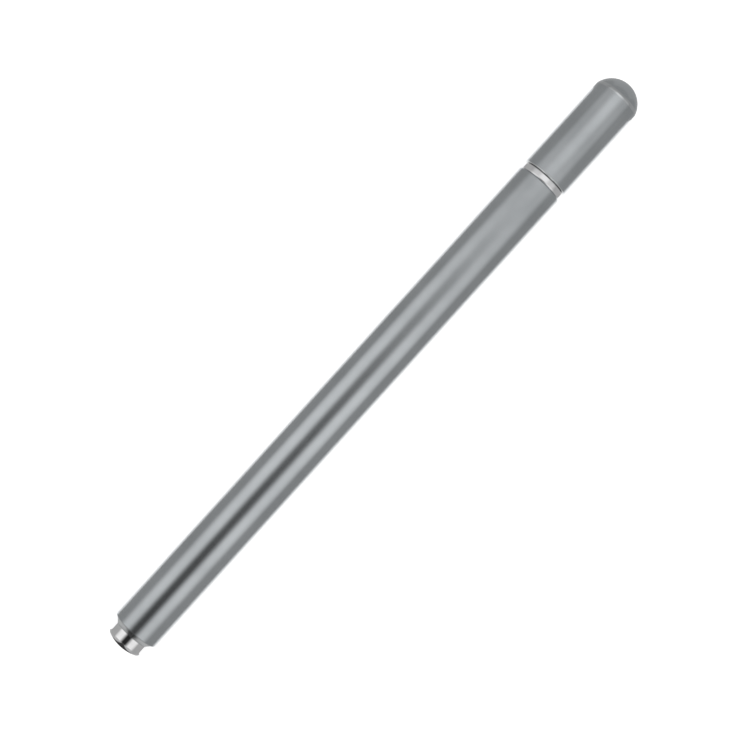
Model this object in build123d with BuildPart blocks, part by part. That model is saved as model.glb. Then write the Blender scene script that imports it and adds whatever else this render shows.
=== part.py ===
"""Stylus pen with a swivelling disc tip, a pull-off cap and a domed tail post.

The pen lies along X on the ground, tail at -X and cap at +X, in millimetres.
Nearly every piece is turned, so each is one half profile spun about the pen's axis.
"""

import math
import os

from build123d import *

# Barrel, a plain tube
barrel_diameter = 9.0
barrel_wall = 1.2
barrel_length = 107.75
barrel_front_chamfer = 0.12
barrel_tail_land = 0.22

# Gaps that let the pieces go together
bond_gap = 0.02
thread_gap = 0.03
swivel_gap = 0.02
cap_clearance = 0.08
cap_seat_gap = 0.1
screw_end_gap = 0.2
overrun = 1.0

# Tail post, bonded in the barrel, with a magnet behind its domed face
post_head_length = 2.1
post_dome_height = 0.85
post_edge_radius = 0.7
post_shank_length = 8.0
post_shoulder = 0.2
post_face_wall = 1.5
post_wall = 0.76
tail_magnet_thickness = 3.0
tail_plug_length = 2.0
magnet_edge = 0.15

# Glue grooves turned into the bonded shanks
groove_width = 0.8
groove_depth = 0.2
groove_place_shares = (0.3, 0.7)

# Trim ring between the barrel and the cap
ring_width = 1.35
ring_recess = 0.05
ring_crown = 0.11

# Threaded bush in the front of the barrel, and the nose that screws into it
insert_length = 12.0
insert_wall = 0.75
nose_stud_length = 8.0
spigot_length = 4.0
spigot_wall = 0.78
spigot_edge = 0.1
nose_magnet_thickness = 2.5
nose_magnet_wall = 1.0
nose_magnet_bore_gap = 0.2

# Nose cone, which closes the magnet pocket and carries the tip
cone_rim = 0.4
cone_length = 3.0
cone_face_diameter = 3.6
cone_stud_length = 5.5

# Screw-in tip: stud, knurled shoulder, neck and ball
tip_stud_diameter = 2.0
tip_stud_length = 2.4
tip_shoulder_diameter = 3.2
tip_shoulder_length = 0.9
tip_taper_length = 0.7
knurl_count = 20
knurl_depth = 0.1
neck_diameter = 1.0
neck_length = 2.8
ball_diameter = 2.0

# Ball socket and disc
socket_wall = 0.33
socket_opening_angle = 66.0
hub_wall = 0.38
disc_thickness = 0.45
disc_floor = 0.35
disc_cap_gap = 0.1
contact_diameter = 3.2
contact_thickness = 0.12

# Cap, with a steel ring in its mouth that the magnets pull on
cap_length = 22.53
cap_dome_height = 3.38
cap_mouth_chamfer = 0.12
cap_wall = 0.85
cap_end_wall = 2.6
cap_end_fillet = 1.0
keeper_wall = 0.35
keeper_inset = 0.5


def dome_radius(base_radius, height):
    """Radius of the ball that a dome of this base and height is cut from."""
    return (base_radius**2 + height**2) / (2 * height)


# Places along the pen, from the tail's apex to the cap's apex
post_reach = post_head_length + post_dome_height
ring_front_gap = ring_width + cap_seat_gap
overall_length = post_reach + barrel_length + ring_front_gap + cap_length
tail_x = -overall_length / 2
barrel_tail_x = tail_x + post_reach
barrel_front_x = barrel_tail_x + barrel_length
ring_front_x = barrel_front_x + ring_width
cap_mouth_x = ring_front_x + cap_seat_gap
cap_tip_x = cap_mouth_x + cap_length
spigot_front_x = ring_front_x + spigot_length
cone_front_x = spigot_front_x + cone_length
tip_shoulder_x = cone_front_x + tip_shoulder_length
neck_x = tip_shoulder_x + tip_taper_length
ball_x = neck_x + neck_length

# Radii that one piece takes from another
barrel_radius = barrel_diameter / 2
bore_radius = barrel_radius - barrel_wall
shank_radius = bore_radius - bond_gap
post_radius = bore_radius + post_shoulder
tail_pocket_radius = shank_radius - post_wall
tail_magnet_radius = tail_pocket_radius - bond_gap
insert_bore_radius = shank_radius - insert_wall
nose_stud_radius = insert_bore_radius - thread_gap
nose_pocket_radius = post_radius - spigot_wall
nose_magnet_radius = nose_pocket_radius - bond_gap
nose_magnet_bore_radius = nose_magnet_radius - nose_magnet_wall
cone_stud_radius = nose_magnet_bore_radius - nose_magnet_bore_gap
cone_hole_radius = cone_stud_radius + thread_gap
keeper_bore_radius = post_radius + cap_clearance
keeper_radius = keeper_bore_radius + keeper_wall
socket_inner_radius = ball_diameter / 2 + swivel_gap
socket_radius = socket_inner_radius + socket_wall
hub_inner_radius = socket_radius + swivel_gap
hub_radius = hub_inner_radius + hub_wall
disc_reach = hub_inner_radius + disc_floor
disc_radius = math.sqrt((keeper_bore_radius - disc_cap_gap) ** 2 - disc_reach**2)

# The pen lies on the ground, and its half profiles stand upright above its axis
axis_height = barrel_radius
pen_axis = Axis((0, 0, axis_height), (1, 0, 0))
pen_plane = Plane(origin=(0, 0, axis_height), x_dir=(1, 0, 0), z_dir=(0, -1, 0))


# Barrel: a tube whose tail is chamfered almost down to the post
barrel_tail_chamfer = barrel_wall - barrel_tail_land
with BuildPart() as barrel_tube:
    with BuildSketch(pen_plane):
        with BuildLine():
            Polyline(
                (barrel_tail_x, bore_radius),
                (barrel_tail_x, barrel_radius - barrel_tail_chamfer),
                (barrel_tail_x + barrel_tail_chamfer, barrel_radius),
                (barrel_front_x - barrel_front_chamfer, barrel_radius),
                (barrel_front_x, barrel_radius - barrel_front_chamfer),
                (barrel_front_x, bore_radius),
                close=True,
            )
        make_face()
    revolve(axis=pen_axis)
barrel_tube.part.label = "barrel_tube"


# Tail post: a domed stub with a rounded edge that seats on the barrel's end, bored from
# inside for its magnet
post_dome = dome_radius(post_radius, post_dome_height)
post_dome_angle = math.degrees(math.atan2(post_radius, post_dome - post_dome_height))
post_end_x = barrel_tail_x + post_shank_length
tail_pocket_x = tail_x + post_face_wall
with BuildPart() as tail_post:
    with BuildSketch(pen_plane) as post_profile:
        with BuildLine():
            CenterArc((tail_x + post_dome, 0), post_dome, 180, -post_dome_angle)
            Polyline(
                (tail_x + post_dome_height, post_radius),
                (barrel_tail_x, post_radius),
                (barrel_tail_x, shank_radius),
                (post_end_x, shank_radius),
                (post_end_x, tail_pocket_radius),
                (tail_pocket_x, tail_pocket_radius),
                (tail_pocket_x, 0),
                (tail_x, 0),
            )
        make_face()
        dome_corner = post_profile.vertices().group_by(Axis.Y)[-1].sort_by(Axis.X)[0]
        fillet(dome_corner, radius=post_edge_radius)
    revolve(axis=pen_axis)
    for share in groove_place_shares:
        groove_x = barrel_tail_x + post_shank_length * share
        with BuildSketch(pen_plane):
            with BuildLine():
                Polyline(
                    (groove_x, shank_radius - groove_depth),
                    (groove_x + groove_width, shank_radius - groove_depth),
                    (groove_x + groove_width, shank_radius + overrun),
                    (groove_x, shank_radius + overrun),
                    close=True,
                )
            make_face()
        revolve(axis=pen_axis, mode=Mode.SUBTRACT)
tail_post.part.label = "tail_post"


# Tail magnet: a disc at the bottom of the pocket
tail_magnet_end_x = tail_pocket_x + tail_magnet_thickness
tail_magnet_plane = Plane(
    origin=(tail_pocket_x, 0, axis_height), x_dir=(0, 1, 0), z_dir=(1, 0, 0)
)
with BuildPart() as tail_magnet:
    with BuildSketch(tail_magnet_plane):
        Circle(tail_magnet_radius)
    extrude(amount=tail_magnet_thickness)
    chamfer(tail_magnet.edges().filter_by(GeomType.CIRCLE), length=magnet_edge)
tail_magnet.part.label = "tail_magnet"


# Tail plug: keeps the magnet in its pocket
tail_plug_plane = Plane(
    origin=(tail_magnet_end_x, 0, axis_height), x_dir=(0, 1, 0), z_dir=(1, 0, 0)
)
with BuildPart() as tail_plug:
    with BuildSketch(tail_plug_plane):
        Circle(tail_magnet_radius)
    extrude(amount=tail_plug_length)
    chamfer(tail_plug.edges().filter_by(GeomType.CIRCLE), length=magnet_edge)
tail_plug.part.label = "tail_plug"


# Front insert: a bush bonded flush in the barrel, threaded right through
insert_x = barrel_front_x - insert_length
with BuildPart() as front_insert:
    with BuildSketch(pen_plane):
        with BuildLine():
            Polyline(
                (insert_x, insert_bore_radius),
                (insert_x, shank_radius),
                (barrel_front_x, shank_radius),
                (barrel_front_x, insert_bore_radius),
                close=True,
            )
        make_face()
    revolve(axis=pen_axis)
    for share in groove_place_shares:
        groove_x = insert_x + insert_length * share
        with BuildSketch(pen_plane):
            with BuildLine():
                Polyline(
                    (groove_x, shank_radius - groove_depth),
                    (groove_x + groove_width, shank_radius - groove_depth),
                    (groove_x + groove_width, shank_radius + overrun),
                    (groove_x, shank_radius + overrun),
                    close=True,
                )
            make_face()
        revolve(axis=pen_axis, mode=Mode.SUBTRACT)
front_insert.part.label = "front_insert"


# Trim ring: slightly crowned, clamped between the barrel and the shoulder of the nose
ring_radius = barrel_radius - ring_recess
ring_side_radius = ring_radius - ring_crown
with BuildPart() as trim_ring:
    with BuildSketch(pen_plane):
        with BuildLine():
            ThreePointArc(
                (barrel_front_x, ring_side_radius),
                (barrel_front_x + ring_width / 2, ring_radius),
                (ring_front_x, ring_side_radius),
            )
            Polyline(
                (ring_front_x, ring_side_radius),
                (ring_front_x, insert_bore_radius),
                (barrel_front_x, insert_bore_radius),
                (barrel_front_x, ring_side_radius),
            )
        make_face()
    revolve(axis=pen_axis)
trim_ring.part.label = "trim_ring"


# Nose collar: hollow stud behind the ring, spigot and magnet pocket in front of it
nose_stud_x = barrel_front_x - nose_stud_length
nose_pocket_x = spigot_front_x - nose_magnet_thickness - bond_gap
with BuildPart() as nose_collar:
    with BuildSketch(pen_plane):
        with BuildLine():
            Polyline(
                (nose_stud_x, cone_hole_radius),
                (nose_stud_x, nose_stud_radius),
                (ring_front_x, nose_stud_radius),
                (ring_front_x, post_radius),
                (spigot_front_x - spigot_edge, post_radius),
                (spigot_front_x, post_radius - spigot_edge),
                (spigot_front_x, nose_pocket_radius),
                (nose_pocket_x, nose_pocket_radius),
                (nose_pocket_x, cone_hole_radius),
                close=True,
            )
        make_face()
    revolve(axis=pen_axis)
nose_collar.part.label = "nose_collar"


# Nose magnet: a ring in the pocket of the spigot, round the stud of the cone
nose_magnet_plane = Plane(
    origin=(nose_pocket_x, 0, axis_height), x_dir=(0, 1, 0), z_dir=(1, 0, 0)
)
with BuildPart() as nose_magnet:
    with BuildSketch(nose_magnet_plane):
        Circle(nose_magnet_radius)
        Circle(nose_magnet_bore_radius, mode=Mode.SUBTRACT)
    extrude(amount=nose_magnet_thickness)
    chamfer(nose_magnet.edges().filter_by(GeomType.CIRCLE), length=magnet_edge)
nose_magnet.part.label = "nose_magnet"


# Nose cone: tapers from the spigot to the tip, with a stud behind and the tip's hole in front
cone_stud_x = spigot_front_x - cone_stud_length
tip_hole_x = cone_front_x - tip_stud_length - screw_end_gap
tip_hole_radius = tip_stud_diameter / 2 + thread_gap
with BuildPart() as nose_cone:
    with BuildSketch(pen_plane):
        with BuildLine():
            Polyline(
                (cone_stud_x, 0),
                (cone_stud_x, cone_stud_radius),
                (spigot_front_x, cone_stud_radius),
                (spigot_front_x, post_radius - spigot_edge),
                (spigot_front_x + spigot_edge, post_radius),
                (spigot_front_x + cone_rim, post_radius),
                (cone_front_x, cone_face_diameter / 2),
                (cone_front_x, tip_hole_radius),
                (tip_hole_x, tip_hole_radius),
                (tip_hole_x, 0),
                close=True,
            )
        make_face()
    revolve(axis=pen_axis)
nose_cone.part.label = "nose_cone"


# Tip stem: stud, knurled shoulder, taper, neck and ball in one turned piece
tip_stud_x = cone_front_x - tip_stud_length
neck_radius = neck_diameter / 2
ball_radius = ball_diameter / 2
neck_angle = math.degrees(math.asin(neck_radius / ball_radius))
neck_end_x = ball_x - math.sqrt(ball_radius**2 - neck_radius**2)
knurl_plane = Plane(
    origin=(cone_front_x, 0, axis_height), x_dir=(0, 1, 0), z_dir=(1, 0, 0)
)
with BuildPart() as tip_stem:
    with BuildSketch(pen_plane):
        with BuildLine():
            Polyline(
                (ball_x + ball_radius, 0),
                (tip_stud_x, 0),
                (tip_stud_x, tip_stud_diameter / 2),
                (cone_front_x, tip_stud_diameter / 2),
                (cone_front_x, tip_shoulder_diameter / 2),
                (tip_shoulder_x, tip_shoulder_diameter / 2),
                (neck_x, neck_radius),
                (neck_end_x, neck_radius),
            )
            CenterArc((ball_x, 0), ball_radius, 180 - neck_angle, neck_angle - 180)
        make_face()
    revolve(axis=pen_axis)
    with BuildSketch(knurl_plane):
        with PolarLocations(tip_shoulder_diameter / 2, knurl_count):
            Circle(knurl_depth)
    extrude(amount=tip_shoulder_length, mode=Mode.SUBTRACT)
tip_stem.part.label = "tip_stem"


# Ball socket: a thin cup that reaches past the middle of the ball
opening_turn = 180 - socket_opening_angle
opening_cos = math.cos(math.radians(socket_opening_angle))
opening_sin = math.sin(math.radians(socket_opening_angle))
with BuildPart() as ball_socket:
    with BuildSketch(pen_plane):
        with BuildLine():
            CenterArc((ball_x, 0), socket_inner_radius, 0, opening_turn)
            CenterArc((ball_x, 0), socket_radius, 0, opening_turn)
            Line((ball_x + socket_inner_radius, 0), (ball_x + socket_radius, 0))
            Line(
                (ball_x - socket_inner_radius * opening_cos, socket_inner_radius * opening_sin),
                (ball_x - socket_radius * opening_cos, socket_radius * opening_sin),
            )
        make_face()
    revolve(axis=pen_axis)
ball_socket.part.label = "ball_socket"


# Tip disc: a clear disc with a rounded rim and a hub that closes over the socket
disc_front_x = ball_x + disc_reach
disc_back = disc_reach - disc_thickness
hub_foot_radius = math.sqrt(hub_radius**2 - disc_back**2)
hub_foot_angle = math.degrees(math.atan2(hub_foot_radius, disc_back))
rim_radius = disc_thickness / 2
contact_hole_radius = contact_diameter / 2 + bond_gap
contact_x = disc_front_x - contact_thickness
with BuildPart() as tip_disc:
    with BuildSketch(pen_plane):
        with BuildLine():
            CenterArc((ball_x, 0), hub_inner_radius, 0, opening_turn)
            Line(
                (ball_x - hub_inner_radius * opening_cos, hub_inner_radius * opening_sin),
                (ball_x - hub_radius * opening_cos, hub_radius * opening_sin),
            )
            CenterArc((ball_x, 0), hub_radius, hub_foot_angle, opening_turn - hub_foot_angle)
            Line(
                (ball_x + disc_back, hub_foot_radius),
                (ball_x + disc_back, disc_radius - rim_radius),
            )
            CenterArc((disc_front_x - rim_radius, disc_radius - rim_radius), rim_radius, 180, -180)
            Polyline(
                (disc_front_x, disc_radius - rim_radius),
                (disc_front_x, contact_hole_radius),
                (contact_x, contact_hole_radius),
                (contact_x, 0),
                (ball_x + hub_inner_radius, 0),
            )
        make_face()
    revolve(axis=pen_axis)
tip_disc.part.label = "tip_disc"


# Disc contact: a thin conductive plate let into the face of the disc
contact_plane = Plane(origin=(contact_x, 0, axis_height), x_dir=(0, 1, 0), z_dir=(1, 0, 0))
with BuildPart() as disc_contact:
    with BuildSketch(contact_plane):
        Circle(contact_diameter / 2)
    extrude(amount=contact_thickness)
disc_contact.part.label = "disc_contact"


# Cap shell: a domed cap with a creased edge, bored blind, with a seat for its steel ring
cap_dome = dome_radius(barrel_radius, cap_dome_height)
cap_dome_angle = math.degrees(math.atan2(barrel_radius, cap_dome - cap_dome_height))
cap_bore_radius = barrel_radius - cap_wall
cap_bore_end_x = cap_tip_x - cap_end_wall
keeper_x = cap_mouth_x + keeper_inset
keeper_length = spigot_length + cone_rim
keeper_end_x = keeper_x + keeper_length
keeper_seat_radius = keeper_radius + bond_gap
with BuildPart() as cap_shell:
    with BuildSketch(pen_plane):
        with BuildLine():
            CenterArc((cap_tip_x - cap_dome, 0), cap_dome, 0, cap_dome_angle)
            Polyline(
                (cap_tip_x - cap_dome_height, barrel_radius),
                (cap_mouth_x + cap_mouth_chamfer, barrel_radius),
                (cap_mouth_x, barrel_radius - cap_mouth_chamfer),
                (cap_mouth_x, keeper_seat_radius),
                (keeper_end_x, keeper_seat_radius),
                (keeper_end_x, cap_bore_radius),
                (cap_bore_end_x - cap_end_fillet, cap_bore_radius),
            )
            CenterArc(
                (cap_bore_end_x - cap_end_fillet, cap_bore_radius - cap_end_fillet),
                cap_end_fillet,
                90,
                -90,
            )
            Polyline(
                (cap_bore_end_x, cap_bore_radius - cap_end_fillet),
                (cap_bore_end_x, 0),
                (cap_tip_x, 0),
            )
        make_face()
    revolve(axis=pen_axis)
cap_shell.part.label = "cap_shell"


# Cap keeper: a steel ring bonded in the mouth of the cap
keeper_plane = Plane(origin=(keeper_x, 0, axis_height), x_dir=(0, 1, 0), z_dir=(1, 0, 0))
with BuildPart() as cap_keeper:
    with BuildSketch(keeper_plane):
        Circle(keeper_radius)
        Circle(keeper_bore_radius, mode=Mode.SUBTRACT)
    extrude(amount=keeper_length)
cap_keeper.part.label = "cap_keeper"


os.makedirs("parts", exist_ok=True)
export_step(barrel_tube.part, "parts/barrel_tube.step")
export_step(tail_post.part, "parts/tail_post.step")
export_step(tail_magnet.part, "parts/tail_magnet.step")
export_step(tail_plug.part, "parts/tail_plug.step")
export_step(front_insert.part, "parts/front_insert.step")
export_step(trim_ring.part, "parts/trim_ring.step")
export_step(nose_collar.part, "parts/nose_collar.step")
export_step(nose_magnet.part, "parts/nose_magnet.step")
export_step(nose_cone.part, "parts/nose_cone.step")
export_step(tip_stem.part, "parts/tip_stem.step")
export_step(ball_socket.part, "parts/ball_socket.step")
export_step(tip_disc.part, "parts/tip_disc.step")
export_step(disc_contact.part, "parts/disc_contact.step")
export_step(cap_shell.part, "parts/cap_shell.step")
export_step(cap_keeper.part, "parts/cap_keeper.step")

print("overall length", round(overall_length, 3))
print("cap mouth at x", round(cap_mouth_x, 3))
print("ball centre at x", round(ball_x, 3))
print("disc radius", round(disc_radius, 3))
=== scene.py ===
# %% [markdown]
# # A stylus pen on a white table
# The pen lies closed on its side. A satin grey barrel and a domed cap of the same metal
# meet at a narrow chrome ring, and a chrome stub closes the tail. Under the cap are a chrome
# nose and a clear disc that swivels on a ball. The solid model comes in first and stays put:
# everything here is measured from it.

# %% Load the solid model
import math

import bmesh
import bpy
from mathutils import Matrix, Vector


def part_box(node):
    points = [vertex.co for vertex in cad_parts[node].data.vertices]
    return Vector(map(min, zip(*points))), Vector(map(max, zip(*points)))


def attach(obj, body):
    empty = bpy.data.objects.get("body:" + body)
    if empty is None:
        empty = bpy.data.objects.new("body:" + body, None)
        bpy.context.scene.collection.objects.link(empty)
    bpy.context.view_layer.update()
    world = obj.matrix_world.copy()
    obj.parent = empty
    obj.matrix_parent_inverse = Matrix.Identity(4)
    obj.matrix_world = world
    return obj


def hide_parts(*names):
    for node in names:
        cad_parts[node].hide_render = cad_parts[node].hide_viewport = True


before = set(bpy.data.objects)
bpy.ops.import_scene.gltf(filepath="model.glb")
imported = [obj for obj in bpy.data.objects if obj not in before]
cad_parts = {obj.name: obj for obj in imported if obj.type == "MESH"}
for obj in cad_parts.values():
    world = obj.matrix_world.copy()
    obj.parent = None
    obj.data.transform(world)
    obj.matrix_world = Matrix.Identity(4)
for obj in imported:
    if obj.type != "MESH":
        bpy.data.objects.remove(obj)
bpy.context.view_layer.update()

MM = 0.001

# %% [markdown]
# ## Reading sizes from the solids
# Every piece of this pen is turned on a lathe, so two numbers say where each one is: where it
# starts and ends along the pen, and how far it reaches from the axis. They could be typed again
# here, but reading them from the solids keeps the dressed pen on the real one.

# %% Places along the pen
barrel_low, barrel_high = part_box("barrel_tube")
axis_z = (barrel_low.z + barrel_high.z) / 2
barrel_radius = (barrel_high.y - barrel_low.y) / 2


def reach(node):
    """Where a node starts and ends along the pen, and its radius, in metres."""
    low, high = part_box(node)
    return low.x, high.x, (high.y - low.y) / 2


def at(x, r):
    """A point of a half profile: x along the pen and r out from its axis."""
    return Vector((x, 0.0, axis_z + r))


for name in sorted(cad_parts):
    print(name, [round(value / MM, 2) for value in reach(name)])

# %% [markdown]
# ## Half a profile
# A turned piece is half a profile spun about the axis. The profile could be one long list of
# points, but then no corner could be changed by itself. Here it is a few sharp corners joined by
# a wire. Each corner is broken with a vertex bevel, as a deburring tool would, and a dome is
# drawn by spinning one vertex about the centre of its circle. A hold line close to both ends of
# every long stretch keeps smooth shading from bending across it, so that a long barrel still
# shades as a true cylinder.

# %% Draw half a profile
ARC_STEPS = 20
CORNER_STEPS = 4
HOLD = 0.03 * MM
LONG_STRETCH = 4 * HOLD
WELD = 0.0001 * MM


def draw_arc(bm, start, end, centre):
    """Spins one vertex about the centre of a circle, from one profile point to another."""
    first = math.atan2(start.x - centre.x, start.z - centre.z)
    last = math.atan2(end.x - centre.x, end.z - centre.z)
    turn = (last - first + math.pi) % (2 * math.pi) - math.pi
    vert = bm.verts.new(start)
    bmesh.ops.spin(
        bm, geom=[vert], cent=centre, axis=(0, 1, 0), angle=turn, steps=ARC_STEPS
    )


def add_hold_lines(bm):
    """Splits every long edge close to both of its ends."""
    for edge in list(bm.edges):
        length = edge.calc_length()
        if length > LONG_STRETCH:
            start, end = edge.verts
            rest, _ = bmesh.utils.edge_split(edge, start, HOLD / length)
            longer = rest if rest.calc_length() > 2 * HOLD else edge
            bmesh.utils.edge_split(longer, end, HOLD / longer.calc_length())


def draw_profile(bm, corners, closed, arcs):
    """Joins corners, each x, r and the size of its broken edge, into one wire."""
    places = [at(x, r) for x, r, _ in corners]
    pairs = list(zip(places, places[1:]))
    if closed:
        pairs.append((places[-1], places[0]))
    for i, (start, end) in enumerate(pairs):
        if i in arcs:
            draw_arc(bm, start, end, at(*arcs[i]))
        else:
            bm.edges.new((bm.verts.new(start), bm.verts.new(end)))
    bmesh.ops.remove_doubles(bm, verts=bm.verts, dist=WELD)
    for place, (_, _, broken) in zip(places, corners):
        if broken:
            vert = min(bm.verts, key=lambda v: (v.co - place).length)
            bmesh.ops.bevel(
                bm, geom=[vert], offset=broken, affect="VERTICES",
                segments=CORNER_STEPS, profile=0.5, material=-1,
            )
    add_hold_lines(bm)


print("steps of an arc", ARC_STEPS, "and of a broken corner", CORNER_STEPS)

# %% [markdown]
# ## The lathe
# The finished wire is spun once around the pen's axis. A Screw modifier would do the same, but it
# leaves the seam and the poles to be welded later. Here they are welded at once and the normals
# are set to face outwards, so that every piece is a closed skin, and its open edges are counted.

# %% The lathe
TURN_STEPS = 160
SHARP_ANGLE = math.radians(50)


def spin_profile(bm):
    """Spins the wire about the pen's axis and leaves a closed skin that faces outwards."""
    bmesh.ops.spin(
        bm, geom=bm.verts[:] + bm.edges[:], cent=at(0, 0), axis=(1, 0, 0),
        angle=math.radians(360), steps=TURN_STEPS, use_merge=True,
    )
    bmesh.ops.remove_doubles(bm, verts=bm.verts, dist=WELD)
    bmesh.ops.recalc_face_normals(bm, faces=bm.faces)


def make_object(bm, name):
    """Puts a finished mesh in the scene as an object of its own."""
    mesh = bpy.data.meshes.new(name)
    bm.to_mesh(mesh)
    bm.free()
    made = bpy.data.objects.new(name, mesh)
    bpy.context.scene.collection.objects.link(made)
    return made


def finish_piece(bm, name, nodes, body):
    """Makes an object of the mesh, in place of CAD nodes, on the body that carries them."""
    open_edges = sum(1 for edge in bm.edges if len(edge.link_faces) != 2)
    for face in bm.faces:
        face.smooth = True
    for edge in bm.edges:
        edge.smooth = edge.calc_face_angle(0) < SHARP_ANGLE
    piece = make_object(bm, name)
    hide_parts(*nodes)
    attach(piece, body)
    print(name, "faces", len(piece.data.polygons), "open edges", open_edges)
    return piece


def turned(name, node, body, corners, closed=False, arcs=None, after=None):
    """A turned piece from its half profile, in place of one CAD node."""
    bm = bmesh.new()
    draw_profile(bm, corners, closed, arcs or {})
    spin_profile(bm)
    if after:
        after(bm)
    return finish_piece(bm, name, [node], body)


print("one turn takes", TURN_STEPS, "steps")

# %% [markdown]
# ## Barrel
# The barrel is a drawn aluminium tube. Its tail is chamfered almost down to the bright stub, and
# its front has only a small broken edge against the ring. A plain tube primitive would leave
# razor edges, so each corner gets a hair of rounding, which is what catches the light.

# %% Barrel
barrel_tail_x, barrel_front_x, _ = reach("barrel_tube")
BARREL_BORE = 3.3 * MM
TAIL_CHAMFER = 0.98 * MM
FRONT_CHAMFER = 0.12 * MM
SOFT_EDGE = 0.05 * MM
FINE_EDGE = 0.02 * MM

barrel = turned(
    "barrel",
    "barrel_tube",
    "pen",
    [
        (barrel_tail_x, BARREL_BORE, 0),
        (barrel_tail_x, barrel_radius - TAIL_CHAMFER, FINE_EDGE),
        (barrel_tail_x + TAIL_CHAMFER, barrel_radius, SOFT_EDGE),
        (barrel_front_x - FRONT_CHAMFER, barrel_radius, SOFT_EDGE),
        (barrel_front_x, barrel_radius - FRONT_CHAMFER, FINE_EDGE),
        (barrel_front_x, BARREL_BORE, 0),
    ],
    closed=True,
)

# %% [markdown]
# ## Trim ring
# A narrow polished ring sits between barrel and cap, a hair below both, with well rounded edges.
# Its flat middle shows the light as one bright band, and the rounded edges turn away into a soft
# dark line on each side. A bevel could round them too, but a vertex spun through a quarter turn
# is a true arc, and a mirror shows the difference.

# %% Trim ring
ring_rear_x, ring_front_x, ring_radius = reach("trim_ring")
RING_BORE = 2.53 * MM
RING_ROUNDING = 0.27 * MM

ring_shoulder = ring_radius - RING_ROUNDING
ring = turned(
    "trim_ring_polished",
    "trim_ring",
    "pen",
    [
        (ring_rear_x, RING_BORE, 0),
        (ring_rear_x, ring_shoulder, 0),
        (ring_rear_x + RING_ROUNDING, ring_radius, 0),
        (ring_front_x - RING_ROUNDING, ring_radius, 0),
        (ring_front_x, ring_shoulder, 0),
        (ring_front_x, RING_BORE, 0),
    ],
    closed=True,
    arcs={
        1: (ring_rear_x + RING_ROUNDING, ring_shoulder),
        3: (ring_front_x - RING_ROUNDING, ring_shoulder),
    },
)

# %% [markdown]
# ## Tail post
# The stub at the tail is a short polished cylinder under a shallow dome, with a well rounded edge
# between the two. The cap can be pushed onto it. A squashed ball on a cylinder would come close,
# but its edge would not run on smoothly. So both curves are a vertex spun about a centre: the
# dome about the ball that it is cut from, and the edge about a point that lets it run into the
# dome and the cylinder without a crease.

# %% Tail post
post_tail_x, post_end_x, post_radius = reach("tail_post")
POST_DOME_HEIGHT = 0.85 * MM
POST_ROUNDING = 0.7 * MM
POST_SHANK = 3.28 * MM
POST_POCKET = 2.52 * MM
POST_FACE_WALL = 1.5 * MM


def dome_radius(base, height):
    """Radius of the ball that a dome of this base and height is cut from."""
    return (base**2 + height**2) / (2 * height)


post_ball = dome_radius(post_radius, POST_DOME_HEIGHT)
post_ball_x = post_tail_x + post_ball
rounding_r = post_radius - POST_ROUNDING
rounding_back = math.sqrt((post_ball - POST_ROUNDING) ** 2 - rounding_r**2)
meeting = post_ball / (post_ball - POST_ROUNDING)
post = turned(
    "tail_post_polished",
    "tail_post",
    "pen",
    [
        (post_tail_x, 0, 0),
        (post_ball_x - rounding_back * meeting, rounding_r * meeting, 0),
        (post_ball_x - rounding_back, post_radius, 0),
        (barrel_tail_x, post_radius, 0),
        (barrel_tail_x, POST_SHANK, 0),
        (post_end_x, POST_SHANK, FINE_EDGE),
        (post_end_x, POST_POCKET, FINE_EDGE),
        (post_tail_x + POST_FACE_WALL, POST_POCKET, 0),
        (post_tail_x + POST_FACE_WALL, 0, 0),
    ],
    arcs={0: (post_ball_x, 0), 1: (post_ball_x - rounding_back, rounding_r)},
)

# %% [markdown]
# ## Cap
# The cap is a blind tube with a shallow dome. Half a ball on a tube would meet it smoothly, but
# this dome is less than half a ball, so it leaves the wall at a soft crease, and that crease
# catches a bright line. The mouth has a cut chamfer. Inside, a shoulder stops the steel ring that
# the magnet pulls on. The ring is a piece of its own, as on the real cap.

# %% Cap shell and keeper ring
cap_mouth_x, cap_tip_x, cap_radius = reach("cap_shell")
keeper_x, keeper_end_x, keeper_radius = reach("cap_keeper")
CAP_DOME_HEIGHT = 3.38 * MM
CAP_CREASE = 0.15 * MM
CAP_CHAMFER = 0.12 * MM
CAP_BORE = 3.65 * MM
CAP_END_WALL = 2.6 * MM
CAP_END_FILLET = 1.0 * MM
BOND_GAP = 0.02 * MM
KEEPER_BORE = 3.58 * MM

cap_dome = dome_radius(cap_radius, CAP_DOME_HEIGHT)
cap_crease_x = cap_tip_x - CAP_DOME_HEIGHT
keeper_seat = keeper_radius + BOND_GAP
cap_floor_x = cap_tip_x - CAP_END_WALL
cap = turned(
    "cap",
    "cap_shell",
    "cap",
    [
        (cap_tip_x, 0, 0),
        (cap_crease_x, cap_radius, CAP_CREASE),
        (cap_mouth_x + CAP_CHAMFER, cap_radius, FINE_EDGE),
        (cap_mouth_x, cap_radius - CAP_CHAMFER, FINE_EDGE),
        (cap_mouth_x, keeper_seat, FINE_EDGE),
        (keeper_end_x, keeper_seat, 0),
        (keeper_end_x, CAP_BORE, FINE_EDGE),
        (cap_floor_x - CAP_END_FILLET, CAP_BORE, 0),
        (cap_floor_x, CAP_BORE - CAP_END_FILLET, 0),
        (cap_floor_x, 0, 0),
    ],
    arcs={
        0: (cap_tip_x - cap_dome, 0),
        7: (cap_floor_x - CAP_END_FILLET, CAP_BORE - CAP_END_FILLET),
    },
)

keeper = turned(
    "cap_keeper_ring",
    "cap_keeper",
    "cap",
    [
        (keeper_x, KEEPER_BORE, SOFT_EDGE),
        (keeper_x, keeper_radius, SOFT_EDGE),
        (keeper_end_x, keeper_radius, FINE_EDGE),
        (keeper_end_x, KEEPER_BORE, SOFT_EDGE),
    ],
    closed=True,
)

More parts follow.
